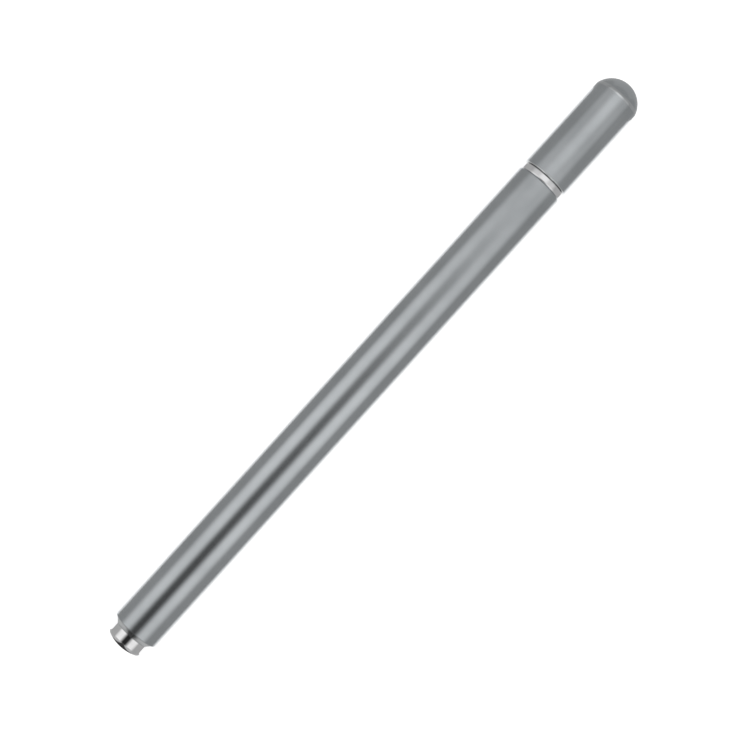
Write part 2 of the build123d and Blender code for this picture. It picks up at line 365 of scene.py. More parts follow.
# %% [markdown]
# ## Nose
# Pulling the cap off shows the nose: a polished spigot that the cap slides over, and a cone that
# screws into it and closes the pocket of the ring magnet. The two could be one spun shape, but
# the real ones meet at a fine groove, so each is turned by itself and the groove comes from
# their two broken edges.

# %% Nose collar and cone
collar_rear_x, spigot_front_x, spigot_radius = reach("nose_collar")
cone_rear_x, cone_front_x, _ = reach("nose_cone")
NOSE_STUD = 2.5 * MM
CONE_HOLE = 1.53 * MM
MAGNET_POCKET = 2.72 * MM
MAGNET_POCKET_DEPTH = 2.52 * MM
NOSE_EDGE = 0.1 * MM
CONE_STUD = 1.5 * MM
CONE_RIM = 0.4 * MM
CONE_FACE = 1.8 * MM
TIP_HOLE = 1.03 * MM
TIP_HOLE_DEPTH = 2.6 * MM

collar = turned(
    "nose_collar_polished",
    "nose_collar",
    "pen",
    [
        (collar_rear_x, CONE_HOLE, 0),
        (collar_rear_x, NOSE_STUD, SOFT_EDGE),
        (ring_front_x, NOSE_STUD, 0),
        (ring_front_x, spigot_radius, 0),
        (spigot_front_x, spigot_radius, NOSE_EDGE),
        (spigot_front_x, MAGNET_POCKET, FINE_EDGE),
        (spigot_front_x - MAGNET_POCKET_DEPTH, MAGNET_POCKET, 0),
        (spigot_front_x - MAGNET_POCKET_DEPTH, CONE_HOLE, 0),
    ],
    closed=True,
)

cone = turned(
    "nose_cone_polished",
    "nose_cone",
    "pen",
    [
        (cone_rear_x, 0, 0),
        (cone_rear_x, CONE_STUD, SOFT_EDGE),
        (spigot_front_x, CONE_STUD, 0),
        (spigot_front_x, spigot_radius, NOSE_EDGE),
        (spigot_front_x + CONE_RIM, spigot_radius, SOFT_EDGE),
        (cone_front_x, CONE_FACE, SOFT_EDGE),
        (cone_front_x, TIP_HOLE, FINE_EDGE),
        (cone_front_x - TIP_HOLE_DEPTH, TIP_HOLE, 0),
        (cone_front_x - TIP_HOLE_DEPTH, 0, 0),
    ],
)

# %% [markdown]
# ## Tip stem
# The tip screws into the cone. Its shoulder is knurled for the fingers, its neck is thin, and it
# ends in a ball. The knurl could be a bump in the finish, but then the outline would stay smooth.
# So after the spin, the skin of the shoulder is pressed in along even flutes.

# %% Tip stem
stem_rear_x, stem_front_x, stem_radius = reach("tip_stem")
BALL_RADIUS = 1.0 * MM
NECK_RADIUS = 0.5 * MM
STUD_RADIUS = 1.0 * MM
SHOULDER_LENGTH = 0.9 * MM
TAPER_LENGTH = 0.7 * MM
KNURL_COUNT = 20
KNURL_DEPTH = 0.1 * MM
SHOULDER_EDGE = 0.08 * MM

ball_x = stem_front_x - BALL_RADIUS
shoulder_end_x = cone_front_x + SHOULDER_LENGTH
neck_end_x = ball_x - math.sqrt(BALL_RADIUS**2 - NECK_RADIUS**2)


def press_flutes(bm):
    """Presses the shoulder's skin in along the pen, once for each tooth of the knurl."""
    for vert in bm.verts:
        x, y, z = vert.co.x, vert.co.y, vert.co.z - axis_z
        r = math.hypot(y, z)
        on_shoulder = cone_front_x - HOLD < x < shoulder_end_x + HOLD
        if on_shoulder and r > stem_radius - SHOULDER_EDGE - HOLD:
            wave = 0.5 + 0.5 * math.cos(KNURL_COUNT * math.atan2(z, y))
            pressed = (r - KNURL_DEPTH * wave**2) / r
            vert.co.y, vert.co.z = y * pressed, z * pressed + axis_z


stem = turned(
    "tip_stem_turned",
    "tip_stem",
    "pen",
    [
        (stem_front_x, 0, 0),
        (neck_end_x, NECK_RADIUS, 0),
        (shoulder_end_x + TAPER_LENGTH, NECK_RADIUS, SOFT_EDGE),
        (shoulder_end_x, stem_radius, SHOULDER_EDGE),
        (cone_front_x, stem_radius, SHOULDER_EDGE),
        (cone_front_x, STUD_RADIUS, 0),
        (stem_rear_x, STUD_RADIUS, SOFT_EDGE),
        (stem_rear_x, 0, 0),
    ],
    arcs={0: (ball_x, 0)},
    after=press_flutes,
)

# %% [markdown]
# ## Ball socket
# A thin metal cup closes over the ball. It could be a ball cut open and given a wall, but drawing
# its inner and outer curve as two arcs about the ball's own centre keeps the gap to the ball even
# all round, so that the cup can lean any way without touching.

# %% Ball socket
_, _, socket_radius = reach("ball_socket")
SOCKET_INNER = 1.02 * MM
OPENING = math.radians(66)


def on_ball(radius):
    """Where the opening of a cup of this radius meets its half profile."""
    return ball_x - radius * math.cos(OPENING), radius * math.sin(OPENING)


socket = turned(
    "ball_socket_cup",
    "ball_socket",
    "socket",
    [
        (ball_x + SOCKET_INNER, 0, 0),
        (*on_ball(SOCKET_INNER), 0),
        (*on_ball(socket_radius), SOFT_EDGE),
        (ball_x + socket_radius, 0, 0),
    ],
    arcs={0: (ball_x, 0), 2: (ball_x, 0)},
)

# %% [markdown]
# ## Clear disc
# The hub of the clear disc closes over the cup about the same centre. The rim of the disc is
# fully round so that it slides on glass, and a bright plate is let into its face. Disc and hub
# are moulded in one, so they are one profile here too, and glass has no skin inside it. The plate
# is a piece of its own with a hair of a gap around it.

# %% Clear disc and its contact plate
_, disc_front_x, disc_radius = reach("tip_disc")
contact_x, _, contact_radius = reach("disc_contact")
HUB_INNER = 1.37 * MM
HUB_OUTER = 1.75 * MM
DISC_THICKNESS = 0.45 * MM
PLATE_EDGE = 0.03 * MM

disc_back_x = disc_front_x - DISC_THICKNESS
rim = DISC_THICKNESS / 2
hub_foot = math.sqrt(HUB_OUTER**2 - (disc_back_x - ball_x) ** 2)
plate_hole = contact_radius + BOND_GAP
disc = turned(
    "tip_disc_clear",
    "tip_disc",
    "disc",
    [
        (ball_x + HUB_INNER, 0, 0),
        (*on_ball(HUB_INNER), FINE_EDGE),
        (*on_ball(HUB_OUTER), SOFT_EDGE),
        (disc_back_x, hub_foot, SOFT_EDGE),
        (disc_back_x, disc_radius - rim, 0),
        (disc_front_x - rim, disc_radius, 0),
        (disc_front_x, disc_radius - rim, 0),
        (disc_front_x, plate_hole, FINE_EDGE),
        (contact_x, plate_hole, 0),
        (contact_x, 0, 0),
    ],
    arcs={
        0: (ball_x, 0),
        2: (ball_x, 0),
        4: (disc_front_x - rim, disc_radius - rim),
        5: (disc_front_x - rim, disc_radius - rim),
    },
)
plate = turned(
    "disc_contact_plate",
    "disc_contact",
    "disc",
    [
        (contact_x, 0, 0),
        (contact_x, contact_radius, 0),
        (disc_front_x, contact_radius, PLATE_EDGE),
        (disc_front_x, 0, 0),
    ],
)

# %% [markdown]
# ## Helpers for finishes
# A finish is a tree of nodes. In the editor each node is placed and wired by hand. A script can
# do the same in long rows of calls, but then the recipe drowns in wiring. So a few helpers place
# a node, do a sum, move a mask to another range or mix two colours, each in one line.

# %% Node helpers
def add(tree, kind, inputs=None, **properties):
    """Adds a node, sets its properties, and links or sets its inputs by name or number."""
    made = tree.nodes.new(kind)
    for key, value in properties.items():
        setattr(made, key, value)
    for key, value in (inputs or {}).items():
        if isinstance(value, bpy.types.NodeSocket):
            tree.links.new(value, made.inputs[key])
        else:
            made.inputs[key].default_value = value
    return made


def work_out(tree, operation, first, second=0.0):
    """One step of arithmetic on values or sockets."""
    made = add(tree, "ShaderNodeMath", {0: first, 1: second}, operation=operation)
    return made.outputs[0]


def spread_evenly(tree, value, low, high):
    """Where a value lies between two ends, as a share."""
    made = add(tree, "ShaderNodeMapRange", {"Value": value, "From Min": low, "From Max": high})
    return made.outputs["Result"]


def spread(tree, value, low, high, from_low=0.0, from_high=1.0):
    """Spreads a mask from one range to another, with soft ends."""
    made = add(
        tree,
        "ShaderNodeMapRange",
        {"Value": value, "From Min": from_low, "From Max": from_high, "To Min": low, "To Max": high},
        interpolation_type="SMOOTHSTEP",
    )
    return made.outputs["Result"]


def ramp(tree, value, stops):
    """A colour ramp from (place, colour) stops."""
    made = add(tree, "ShaderNodeValToRGB", {"Fac": value})
    elements = made.color_ramp.elements
    while len(elements) < len(stops):
        elements.new(1.0)
    for element, (place, colour) in zip(elements, stops):
        element.position = place
        element.color = (*colour, 1.0)
    return made.outputs["Color"]


def blend(tree, share, first, second):
    """One colour giving way to another."""
    made = add(tree, "ShaderNodeMix", {0: share, 6: first, 7: second}, data_type="RGBA")
    return made.outputs[2]


print("node helpers are ready")

# %% [markdown]
# ## Places and noise
# A pattern has to know where a point lies on its piece. Coordinates that run from zero to one on
# every piece would make the same grain coarser on the barrel than on the ring. Object coordinates
# are in metres and stay with the piece when it moves.

# %% Places and noise
def object_place(tree):
    """Where a point lies on its piece, in metres."""
    return add(tree, "ShaderNodeTexCoord").outputs["Object"]


def place_apart(tree):
    """The same place as three values, X, Y and Z."""
    return add(tree, "ShaderNodeSeparateXYZ", {0: object_place(tree)}).outputs


def noise(tree, place, scale, detail, rough):
    """Cloudy noise over a place, as a mask."""
    made = add(
        tree, "ShaderNodeTexNoise",
        {"Vector": place, "Scale": scale, "Detail": detail, "Roughness": rough},
    )
    return made.outputs["Fac"]


# %% [markdown]
# ## Shared effects
# Four effects come back in several finishes: the grain of blasted metal, the fine rings that a
# lathe leaves, the faint rub marks of handling, and a band round an edge where the finish has
# been cut bright. Each could be built again in every finish, but as a node group it is built once
# and only puts out a mask. All of them read object coordinates in metres, so their scales are
# real sizes and nothing slides.

# %% Node groups
def new_group(name, inputs, output):
    """A shader node group with float inputs and one float output."""
    group = bpy.data.node_groups.new(name, "ShaderNodeTree")
    for label, value in inputs.items():
        socket_in = group.interface.new_socket(
            name=label, in_out="INPUT", socket_type="NodeSocketFloat"
        )
        socket_in.default_value = value
    group.interface.new_socket(name=output, in_out="OUTPUT", socket_type="NodeSocketFloat")
    return group, group.nodes.new("NodeGroupInput").outputs


def close_group(group, value):
    """Sends a value to the group's only output."""
    leave = group.nodes.new("NodeGroupOutput")
    group.links.new(value, leave.inputs[0])
    print("group", group.name, "nodes", len(group.nodes))
    return group


def label_of(word):
    """The label of a socket from a plain word, such as Base Color from base_color."""
    return word.replace("_", " ").title()


def effect(tree, group, **inputs):
    """Places a shared effect in a material, and gives the mask that it puts out."""
    made = add(tree, "ShaderNodeGroup", node_tree=group)
    for word, value in inputs.items():
        made.inputs[label_of(word)].default_value = value
    return made.outputs[0]


print("groups so far", len(bpy.data.node_groups))

# %% [markdown]
# ## Grain and lathe rings
# Blasting leaves pits with no direction, so its grain is plain noise. A lathe tool leaves rings
# on walls and on end faces alike. A wave texture would make them too even, so they are noise in
# one dimension only, read from the distance along the pen plus the distance from its axis.

# %% Grain and lathe rings
BLAST_SCALE = 9000.0
RINGS_PER_METRE = 15000.0


def make_grain():
    """Fine pits of blasted metal."""
    group, given = new_group("blasted_grain", {"Scale": BLAST_SCALE}, "Grain")
    pits = noise(group, object_place(group), given["Scale"], detail=2.0, rough=0.6)
    return close_group(group, pits)


def make_turned_marks():
    """Rings left by a lathe tool, on walls and on end faces alike."""
    group, given = new_group("turned_marks", {"Rings Per Metre": RINGS_PER_METRE}, "Marks")
    apart = place_apart(group)
    height = work_out(group, "SUBTRACT", apart["Z"], axis_z)
    out_squared = work_out(
        group, "ADD",
        work_out(group, "MULTIPLY", apart["Y"], apart["Y"]),
        work_out(group, "MULTIPLY", height, height),
    )
    along = work_out(group, "ADD", apart["X"], work_out(group, "SQRT", out_squared))
    rings = add(
        group, "ShaderNodeTexNoise",
        {"W": work_out(group, "MULTIPLY", along, given[0]), "Scale": 1.0, "Detail": 3.0},
        noise_dimensions="1D",
    )
    return close_group(group, rings.outputs["Fac"])


blasted_grain = make_grain()
turned_marks = make_turned_marks()

# %% [markdown]
# ## Rub marks and bright edges
# Handling leaves faint streaks along the pen. They are noise that has been drawn out along X.
# A cut edge is a band round the pen at one place along it. It could be a separate piece with a
# finish of its own, but a mask fades at its sides and is a little uneven, as a real cut is.

# %% Rub marks and bright edges
STREAK_SCALE = 500.0
STREAK_STRETCH = 0.08
STREAK_LOW = 0.45
STREAK_HIGH = 0.75
BAND_WIDTH = 0.2 * MM
BAND_CORE = 0.5
PATCH_SCALE = 700.0
PATCH_LOW = 0.3
PATCH_HIGH = 0.6
PATCH_DIM = 0.75


def make_rub_marks():
    """Faint streaks along the pen from handling."""
    start = {"Scale": STREAK_SCALE, "Stretch": STREAK_STRETCH}
    group, given = new_group("rub_marks", start, "Marks")
    apart = place_apart(group)
    drawn_out = work_out(group, "MULTIPLY", apart["X"], given["Stretch"])
    joined = add(
        group, "ShaderNodeCombineXYZ", {"X": drawn_out, "Y": apart["Y"], "Z": apart["Z"]}
    ).outputs[0]
    streaks = noise(group, joined, given["Scale"], detail=4.0, rough=0.7)
    return close_group(group, spread(group, streaks, 0.0, 1.0, STREAK_LOW, STREAK_HIGH))


def make_edge_band():
    """A band round the pen at one place, strongest in its middle and a little uneven."""
    group, given = new_group("edge_band", {"Place": 0.0, "Width": BAND_WIDTH}, "Band")
    along = place_apart(group)["X"]
    off = work_out(group, "ABSOLUTE", work_out(group, "SUBTRACT", along, given["Place"]))
    share = work_out(group, "DIVIDE", off, given["Width"])
    band = spread(group, share, 1.0, 0.0, BAND_CORE, 1.0)
    patches = noise(group, object_place(group), PATCH_SCALE, detail=2.0, rough=0.5)
    uneven = spread(group, patches, PATCH_DIM, 1.0, PATCH_LOW, PATCH_HIGH)
    return close_group(group, work_out(group, "MULTIPLY", band, uneven))


rub_marks = make_rub_marks()
edge_band = make_edge_band()

# %% [markdown]
# ## A new finish
# Every finish starts from the same shader. Metal has its Metallic set to one, so that all of its
# colour is in what it mirrors. The helpers here make such a start, wire masks and colours to the
# shader's inputs, and raise the surface by a mask where real geometry would be too fine.

# %% Start a finish
def new_material(name):
    """A new material, its node tree and its shader."""
    made = bpy.data.materials.new(name)
    made.use_nodes = True
    return made, made.node_tree, made.node_tree.nodes["Principled BSDF"]


def metal(name):
    """A new material whose shader is plain metal."""
    made, tree, shader = new_material(name)
    shader.inputs["Metallic"].default_value = 1.0
    return made, tree, shader


def wire(tree, shader, **sockets):
    """Links sockets to the shader's inputs, each named by a plain word."""
    for word, socket_out in sockets.items():
        tree.links.new(socket_out, shader.inputs[label_of(word)])


def bump(tree, height, strength, distance):
    """A normal raised by a mask."""
    given = {"Height": height, "Strength": strength, "Distance": distance}
    return add(tree, "ShaderNodeBump", given).outputs["Normal"]


print("finishes so far", len(bpy.data.materials))

# %% [markdown]
# ## Anodised aluminium
# The barrel and cap are blasted and anodised grey: satin, even, a touch cool. One flat colour and
# one roughness would look like plastic. So grain moves the roughness, slow mottling moves the
# colour a little, rub marks polish it, and the cut edges come out brighter and smoother.

# %% Anodised aluminium
ANODISED_DARK = (0.463, 0.487, 0.502)
ANODISED_LIGHT = (0.522, 0.547, 0.562)
CUT_BRIGHT = (0.72, 0.735, 0.74, 1.0)
# Most of a noise mask lies between these two.
MASK_LOW = 0.3
MASK_HIGH = 0.7
MOTTLE_SCALE = 140.0
MOTTLE_LOW = 0.25
MOTTLE_HIGH = 0.75
SATIN_SMOOTH = 0.23
SATIN_DULL = 0.27
RUB_SCALE = 420.0
RUB_STRETCH = 0.06
RUB_POLISH = 0.02
CUT_POLISH = 0.1
BLAST_BUMP = 0.05
BLAST_DEPTH = 0.02 * MM
CHAMFER_BAND = 0.53 * MM
CREASE_BAND = 0.45 * MM
CREASE_BAND_SHIFT = 0.1 * MM
CREASE_SHARE = 0.5
MOUTH_BAND = 0.12 * MM


def anodised(name, edges):
    """Satin aluminium with bright edges, each a place, a width and how bright it is."""
    made, tree, shader = metal(name)
    grain = effect(tree, blasted_grain, scale=BLAST_SCALE)
    mottle = effect(tree, blasted_grain, scale=MOTTLE_SCALE)
    rubbed = effect(tree, rub_marks, scale=RUB_SCALE, stretch=RUB_STRETCH)
    colour = ramp(tree, mottle, [(MOTTLE_LOW, ANODISED_DARK), (MOTTLE_HIGH, ANODISED_LIGHT)])
    rough = spread(tree, grain, SATIN_SMOOTH, SATIN_DULL, MASK_LOW, MASK_HIGH)
    rough = work_out(tree, "SUBTRACT", rough, work_out(tree, "MULTIPLY", rubbed, RUB_POLISH))
    for place, width, share in edges:
        cut = work_out(tree, "MULTIPLY", effect(tree, edge_band, place=place, width=width), share)
        colour = blend(tree, cut, colour, CUT_BRIGHT)
        rough = work_out(tree, "SUBTRACT", rough, work_out(tree, "MULTIPLY", cut, CUT_POLISH))
    raised = bump(tree, grain, BLAST_BUMP, BLAST_DEPTH)
    wire(tree, shader, base_color=colour, roughness=rough, normal=raised)
    print(name, "nodes", len(tree.nodes))
    return made


barrel_finish = anodised(
    "anodised_barrel", [(barrel_tail_x + TAIL_CHAMFER / 2, CHAMFER_BAND, 1.0)]
)
cap_finish = anodised(
    "anodised_cap",
    [
        (cap_crease_x + CREASE_BAND_SHIFT, CREASE_BAND, CREASE_SHARE),
        (cap_mouth_x + CAP_CHAMFER / 2, MOUTH_BAND, 1.0),
    ],
)

# %% [markdown]
# ## Chrome and turned metals
# The ring, the stub and the nose are mirror chrome, with the faintest rub marks in the polish.
# The small steel, brass, nickel and foil pieces keep the rings of the tool that turned them. They
# differ only in colour, gloss and how fine the rings are, so one recipe with a row of values for
# each is easier to change than five materials.

# %% Chrome and turned metals
CHROME_DARK = (0.83, 0.83, 0.84)
CHROME_LIGHT = (0.90, 0.90, 0.905)
CHROME_SMOOTH = 0.05
CHROME_DULL = 0.1
PLATE_SCALE = 300.0
POLISH_SCALE = 1500.0
POLISH_STRETCH = 0.3
STEEL_DARK = (0.56, 0.56, 0.56)
STEEL_LIGHT = (0.68, 0.675, 0.67)
NICKEL_DARK = (0.56, 0.54, 0.50)
NICKEL_LIGHT = (0.66, 0.64, 0.59)
BRASS_DARK = (0.62, 0.44, 0.16)
BRASS_LIGHT = (0.78, 0.58, 0.25)
FOIL_DARK = (0.66, 0.66, 0.67)
FOIL_LIGHT = (0.8, 0.8, 0.8)
TOOL_BUMP = 0.15
TOOL_DEPTH = 0.01 * MM
# For each finish: its two colours, its two roughnesses, and rings per metre.
TURNED_METALS = {
    "tip_steel": (STEEL_DARK, STEEL_LIGHT, 0.14, 0.24, 14000.0),
    "keeper_steel": (STEEL_DARK, STEEL_LIGHT, 0.22, 0.36, 9000.0),
    "magnet_nickel": (NICKEL_DARK, NICKEL_LIGHT, 0.2, 0.3, 4000.0),
    "plain_brass": (BRASS_DARK, BRASS_LIGHT, 0.22, 0.34, 8000.0),
    "contact_foil": (FOIL_DARK, FOIL_LIGHT, 0.16, 0.26, 16000.0),
}


def two_tones(tree, mask, dark, light):
    """A colour that a mask moves between two tones."""
    return ramp(tree, mask, [(MASK_LOW, dark), (MASK_HIGH, light)])


def chrome(name):
    """Polished plate with the faintest rub marks."""
    made, tree, shader = metal(name)
    rubbed = effect(tree, rub_marks, scale=POLISH_SCALE, stretch=POLISH_STRETCH)
    mottle = effect(tree, blasted_grain, scale=PLATE_SCALE)
    colour = two_tones(tree, mottle, CHROME_DARK, CHROME_LIGHT)
    rough = spread(tree, rubbed, CHROME_SMOOTH, CHROME_DULL)
    wire(tree, shader, base_color=colour, roughness=rough)
    return made


def lathe_cut(name, dark, light, smooth, dull, rings):
    """Turned metal with visible tool rings, between two colours and two roughnesses."""
    made, tree, shader = metal(name)
    marks = effect(tree, turned_marks, rings_per_metre=rings)
    colour = two_tones(tree, marks, dark, light)
    rough = spread(tree, marks, smooth, dull, MASK_LOW, MASK_HIGH)
    raised = bump(tree, marks, TOOL_BUMP, TOOL_DEPTH)
    wire(tree, shader, base_color=colour, roughness=rough, normal=raised)
    return made


chrome_finish = chrome("bright_chrome")
turned_finish = {name: lathe_cut(name, *values) for name, values in TURNED_METALS.items()}
print("turned metals", list(turned_finish))

# %% [markdown]
# ## Plastics
# The disc is moulded clear plastic, and the plug in the tail is black. Clear plastic could be
# faked with a see-through colour, but then it would not bend what lies behind it, so it lets
# light through with a real index of refraction. Slight flow marks move its tint and its gloss.

# %% Plastics
CLEAR_TINT = (0.93, 0.96, 0.975)
CLEAR_SHADE = (0.88, 0.92, 0.94)
CLEAR_SMOOTH = 0.02
CLEAR_DULL = 0.06
CLEAR_IOR = 1.5
FLOW_SCALE = 900.0
BLACK_DARK = (0.012, 0.012, 0.013)
BLACK_LIGHT = (0.03, 0.03, 0.032)
BLACK_SMOOTH = 0.4
BLACK_DULL = 0.55
MOULD_SCALE = 6000.0
MOULD_BUMP = 0.2
MOULD_DEPTH = 0.02 * MM


def clear_plastic(name):
    """Moulded clear plastic with slight flow marks."""
    made, tree, shader = new_material(name)
    shader.inputs["Transmission Weight"].default_value = 1.0
    shader.inputs["IOR"].default_value = CLEAR_IOR
    flow = effect(tree, blasted_grain, scale=FLOW_SCALE)
    tint = two_tones(tree, flow, CLEAR_SHADE, CLEAR_TINT)
    rough = spread(tree, flow, CLEAR_SMOOTH, CLEAR_DULL, MASK_LOW, MASK_HIGH)
    wire(tree, shader, base_color=tint, roughness=rough)
    return made


def black_plastic(name):
    """Moulded black plastic with a fine grain."""
    made, tree, shader = new_material(name)
    grain = effect(tree, blasted_grain, scale=MOULD_SCALE)
    colour = two_tones(tree, grain, BLACK_DARK, BLACK_LIGHT)
    rough = spread(tree, grain, BLACK_SMOOTH, BLACK_DULL, MASK_LOW, MASK_HIGH)
    raised = bump(tree, grain, MOULD_BUMP, MOULD_DEPTH)
    wire(tree, shader, base_color=colour, roughness=rough, normal=raised)
    return made


clear_finish = clear_plastic("clear_plastic")
black_finish = black_plastic("black_plastic")
print("finishes", len(bpy.data.materials))

# %% [markdown]
# ## Dressing the pieces
# New pieces take their finish. The pieces that stay sealed inside could be modelled again as well,
# but nobody sees them, so they keep their solid shape and only get a finish.

# %% Give out the finishes
DRESS = [
    (barrel, barrel_finish, "anodised_grey"),
    (cap, cap_finish, "anodised_grey"),
    (ring, chrome_finish, "bright_chrome"),
    (post, chrome_finish, "bright_chrome"),
    (collar, chrome_finish, "bright_chrome"),
    (cone, chrome_finish, "bright_chrome"),
    (keeper, turned_finish["keeper_steel"], "keeper_steel"),
    (stem, turned_finish["tip_steel"], "tip_steel"),
    (socket, turned_finish["tip_steel"], "tip_steel"),
    (disc, clear_finish, "clear_plastic"),
    (plate, turned_finish["contact_foil"], "contact_plate"),
]
INSIDE = {
    "front_insert": turned_finish["plain_brass"],
    "nose_magnet": turned_finish["magnet_nickel"],
    "tail_magnet": turned_finish["magnet_nickel"],
    "tail_plug": black_finish,
}

for piece, finish, slot_name in DRESS:
    piece.data.materials.append(finish)
for node, finish in INSIDE.items():
    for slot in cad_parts[node].material_slots:
        slot.material = finish
print("dressed", len(DRESS), "pieces and", len(INSIDE), "inner nodes")

# %% [markdown]
# ## Table
# The table is plain and pale. More light could make it white, but that would wash out the pen.
# Instead, to the camera and in mirrors and glass, it glows just enough to come out white, on top
# of the light that falls on it, so the pen still leaves its soft shadow. Farther off, where less
# light falls on it, it glows more, so that low views stay white as well.

# %% Table and surroundings
TABLE_SIZE = 6.0
TABLE_COLOUR = (0.8, 0.8, 0.8, 1.0)
TABLE_ROUGHNESS = 0.9
TABLE_GLOW = 0.7
TABLE_NEAR = 0.2
TABLE_FAR = 0.5
WHITE = (1.0, 1.0, 1.0, 1.0)
WORLD_DIM = 0.05


def seen_directly(tree):
    """One for rays from the camera, from mirrors and through glass, and zero for the rest."""
    path = add(tree, "ShaderNodeLightPath").outputs
    either = work_out(tree, "MAXIMUM", path["Is Camera Ray"], path["Is Glossy Ray"])
    return work_out(tree, "MAXIMUM", either, path["Is Transmission Ray"])


def make_table():
    """A wide flat table, white to the eye."""
    bm = bmesh.new()
    bmesh.ops.create_grid(bm, x_segments=1, y_segments=1, size=TABLE_SIZE / 2)
    table = make_object(bm, "table")
    made, tree, shader = new_material("table_white")
    shader.inputs["Base Color"].default_value = TABLE_COLOUR
    shader.inputs["Roughness"].default_value = TABLE_ROUGHNESS
    shader.inputs["Specular IOR Level"].default_value = 0.0
    shader.inputs["Emission Color"].default_value = WHITE
    away = add(tree, "ShaderNodeVectorMath", {0: object_place(tree)}, operation="LENGTH")
    glow = spread(tree, away.outputs["Value"], TABLE_GLOW, 1.0, TABLE_NEAR, TABLE_FAR)
    glow = work_out(tree, "MULTIPLY", seen_directly(tree), glow)
    wire(tree, shader, emission_strength=glow)
    table.data.materials.append(made)
    return table


def make_surroundings():
    """A world that is white to the eye and gives the pen only a little light."""
    world = bpy.data.worlds.new("surroundings")
    bpy.context.scene.world = world
    world.use_nodes = True
    tree = world.node_tree
    background = tree.nodes["Background"]
    background.inputs["Color"].default_value = WHITE
    wire(tree, background, strength=spread(tree, seen_directly(tree), WORLD_DIM, 1.0))


table = make_table()
make_surroundings()
print("table in metres", [round(side, 2) for side in table.dimensions])

# %% [markdown]
# ## Light tent
# Polished metal shows its surroundings, so the light is shaped by what the pen can see. Lamps
# would leave small hot spots, so a half round tent of glowing cloth stands over the pen. It is
# an arc spun from one vertex and drawn out along the pen, with both ends closed. The camera looks
# through it, and it throws no shadow.

# %% Light tent
TENT_RADIUS = 0.5
TENT_HALF_LENGTH = 0.6
TENT_STEPS = 48


def hide_from_camera(stage_piece):
    """Leaves a studio piece in reflections only, or as light, and out of the picture."""
    stage_piece.visible_camera = False
    stage_piece.visible_shadow = False


def draw_out(bm, edges, way):
    """Draws edges out one way into faces, and gives the new edges."""
    drawn = bmesh.ops.extrude_edge_only(bm, edges=edges)["geom"]
    moved = [item for item in drawn if isinstance(item, bmesh.types.BMVert)]
    bmesh.ops.translate(bm, verts=moved, vec=way)
    return [item for item in drawn if isinstance(item, bmesh.types.BMEdge)]


def make_tent():
    """A half round tent over the pen, closed at both ends."""
    bm = bmesh.new()
    start = bm.verts.new((-TENT_HALF_LENGTH, -TENT_RADIUS, 0))
    bmesh.ops.spin(
        bm, geom=[start], cent=(0, 0, 0), axis=(1, 0, 0),
        angle=math.radians(-180), steps=TENT_STEPS,
    )
    near_end = bm.edges[:]
    far_end = draw_out(bm, near_end, (2 * TENT_HALF_LENGTH, 0, 0))
    bmesh.ops.contextual_create(bm, geom=near_end)
    bmesh.ops.contextual_create(bm, geom=far_end)
    tent = make_object(bm, "light_tent")
    hide_from_camera(tent)
    return tent


tent = make_tent()
print("tent faces", len(tent.data.polygons))

# %% [markdown]
# ## Tones of the cloth
# The light is plain and alike on both sides: bright cloth beside the pen, darker towards the table,
# and a gap overhead for the lens, which satin metal mirrors as a dark stripe along the barrel. Over
# the cap the gap is closed with cloth, and towards the tail the light falls off. Many small lamps
# could model the metal more closely, but then the pen would look right in this light alone.
# Low behind the tail a light skirt keeps the barrel from going black when seen from the cap.

# %% Tones of the cloth
# Each place: how far along the pen, and the glow at the table, beside the pen and overhead.
TENT_PLACES = [
    (-0.15, 0.2, 0.9, 0.02),
    (0.0, 0.5, 1.1, 0.15),
    (0.15, 0.15, 0.55, 1.0),
]
GAP_EDGE = math.radians(8)
CLOTH_HIGH = math.radians(34)
CLOTH_LOW = math.radians(50)
TENT_END = (0.4, 0.4, 0.4, 1.0)
TENT_TAIL_FADE = (-0.22, -0.35)
TENT_CAP_FADE = (0.36, 0.576)
TENT_SKIRT = (0.9, 0.9, 0.9, 1.0)
TENT_SKIRT_FADE = (0.13, 0.25)
print("tones at", len(TENT_PLACES), "places along the pen")

# %% [markdown]
# ## Glow of the cloth
# The tones could be painted as a picture on the tent. Mixed from a few values they need no file,
# and each can be changed by itself. One mix follows the angle from overhead down to the table, and
# another follows the pen from place to place.

# %% Glow of the cloth
def new_glow(name):
    """A material that only glows, its node tree, and where its points lie, as X, Y and Z."""
    made, tree, shader = new_material(name)
    tree.nodes.remove(shader)
    return made, tree, place_apart(tree)


def glow_with(tree, colour):
    """Makes a glowing material glow in a colour."""
    shader = add(tree, "ShaderNodeEmission", {"Color": colour})
    tree.links.new(shader.outputs[0], tree.nodes["Material Output"].inputs["Surface"])


def grey(tone):
    """A neutral colour."""
    return (tone, tone, tone, 1.0)


